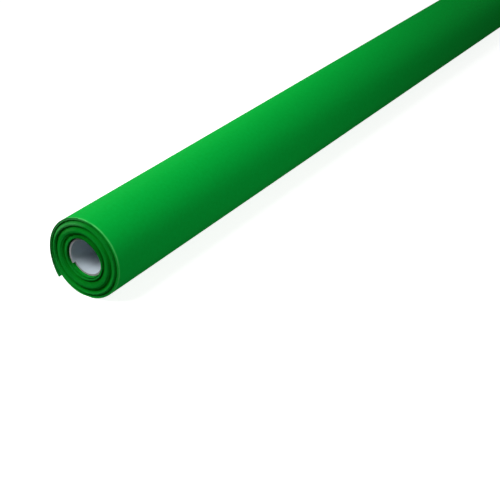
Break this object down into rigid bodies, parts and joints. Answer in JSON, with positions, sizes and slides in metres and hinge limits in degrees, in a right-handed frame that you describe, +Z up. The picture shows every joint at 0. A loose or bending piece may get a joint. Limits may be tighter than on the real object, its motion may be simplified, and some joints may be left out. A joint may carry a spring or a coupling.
{
  "type": "backdrop paper roll",
  "caption": "Half-width roll of green seamless backdrop paper on a thin paperboard core, its terraced turn ends showing and its leading edge springing loose.",
  "frame": {"origin": "on the ground under the middle of the roll", "axes": "+Z up, +Y along the roll's axis away from the near end, +X to the right as seen from the near end; the loose tail is on the -X side"},
  "size_m": [0.0817, 1.353, 0.08],
  "materials": {
    "green_paper": "matte",
    "white_liner": "matte",
    "grey_board": "matte",
    "masking_tape": "satin"
  },
  "bodies": {
    "roll": {"wound_sheet": "green_paper", "core_liner_ply": "white_liner", "core_board_ply": "grey_board", "core_cover_ply": "grey_board", "starter_tape_near": "masking_tape", "starter_tape_middle": "masking_tape", "starter_tape_far": "masking_tape"},
    "leaf_1": {"tail_leaf_1": "green_paper"},
    "leaf_2": {"tail_leaf_2": "green_paper"},
    "leaf_3": {"tail_leaf_3": "green_paper"},
    "leaf_4": {"tail_leaf_4": "green_paper"},
    "leaf_5": {"tail_leaf_5": "green_paper"},
    "leaf_6": {"tail_leaf_6": "green_paper"}
  },
  "joints": [
    {"name": "tail_curl_1", "type": "hinge", "parent": "roll", "child": "leaf_1", "pos_m": [-0.0044, 0, 0.07982], "axis": [0, 1, 0], "range_deg": [0, 20], "stiffness_Nm_per_rad": 0.18},
    {"name": "tail_curl_2", "type": "hinge", "parent": "leaf_1", "child": "leaf_2", "pos_m": [-0.01842, 0, 0.07569], "axis": [0, 1, 0], "range_deg": [0, 20], "stiffness_Nm_per_rad": 0.18},
    {"name": "tail_curl_3", "type": "hinge", "parent": "leaf_2", "child": "leaf_3", "pos_m": [-0.03014, 0, 0.06686], "axis": [0, 1, 0], "range_deg": [0, 20], "stiffness_Nm_per_rad": 0.18},
    {"name": "tail_curl_4", "type": "hinge", "parent": "leaf_3", "child": "leaf_4", "pos_m": [-0.038, 0, 0.05436], "axis": [0, 1, 0], "range_deg": [0, 20], "stiffness_Nm_per_rad": 0.18},
    {"name": "tip_curl_1", "type": "hinge", "parent": "leaf_4", "child": "leaf_5", "pos_m": [-0.04134, 0, 0.03978], "axis": [0, 1, 0], "range_deg": [-3, 20], "stiffness_Nm_per_rad": 0.18},
    {"name": "tip_curl_2", "type": "hinge", "parent": "leaf_5", "child": "leaf_6", "pos_m": [-0.03979, 0, 0.02449], "axis": [0, 1, 0], "range_deg": [-3, 20], "stiffness_Nm_per_rad": 0.18}
  ],
  "couplings": [
    {"joint": "tail_curl_2", "follows": "tail_curl_1", "ratio": 1},
    {"joint": "tail_curl_3", "follows": "tail_curl_1", "ratio": 1},
    {"joint": "tail_curl_4", "follows": "tail_curl_1", "ratio": 1},
    {"joint": "tip_curl_2", "follows": "tip_curl_1", "ratio": 1}
  ]
}
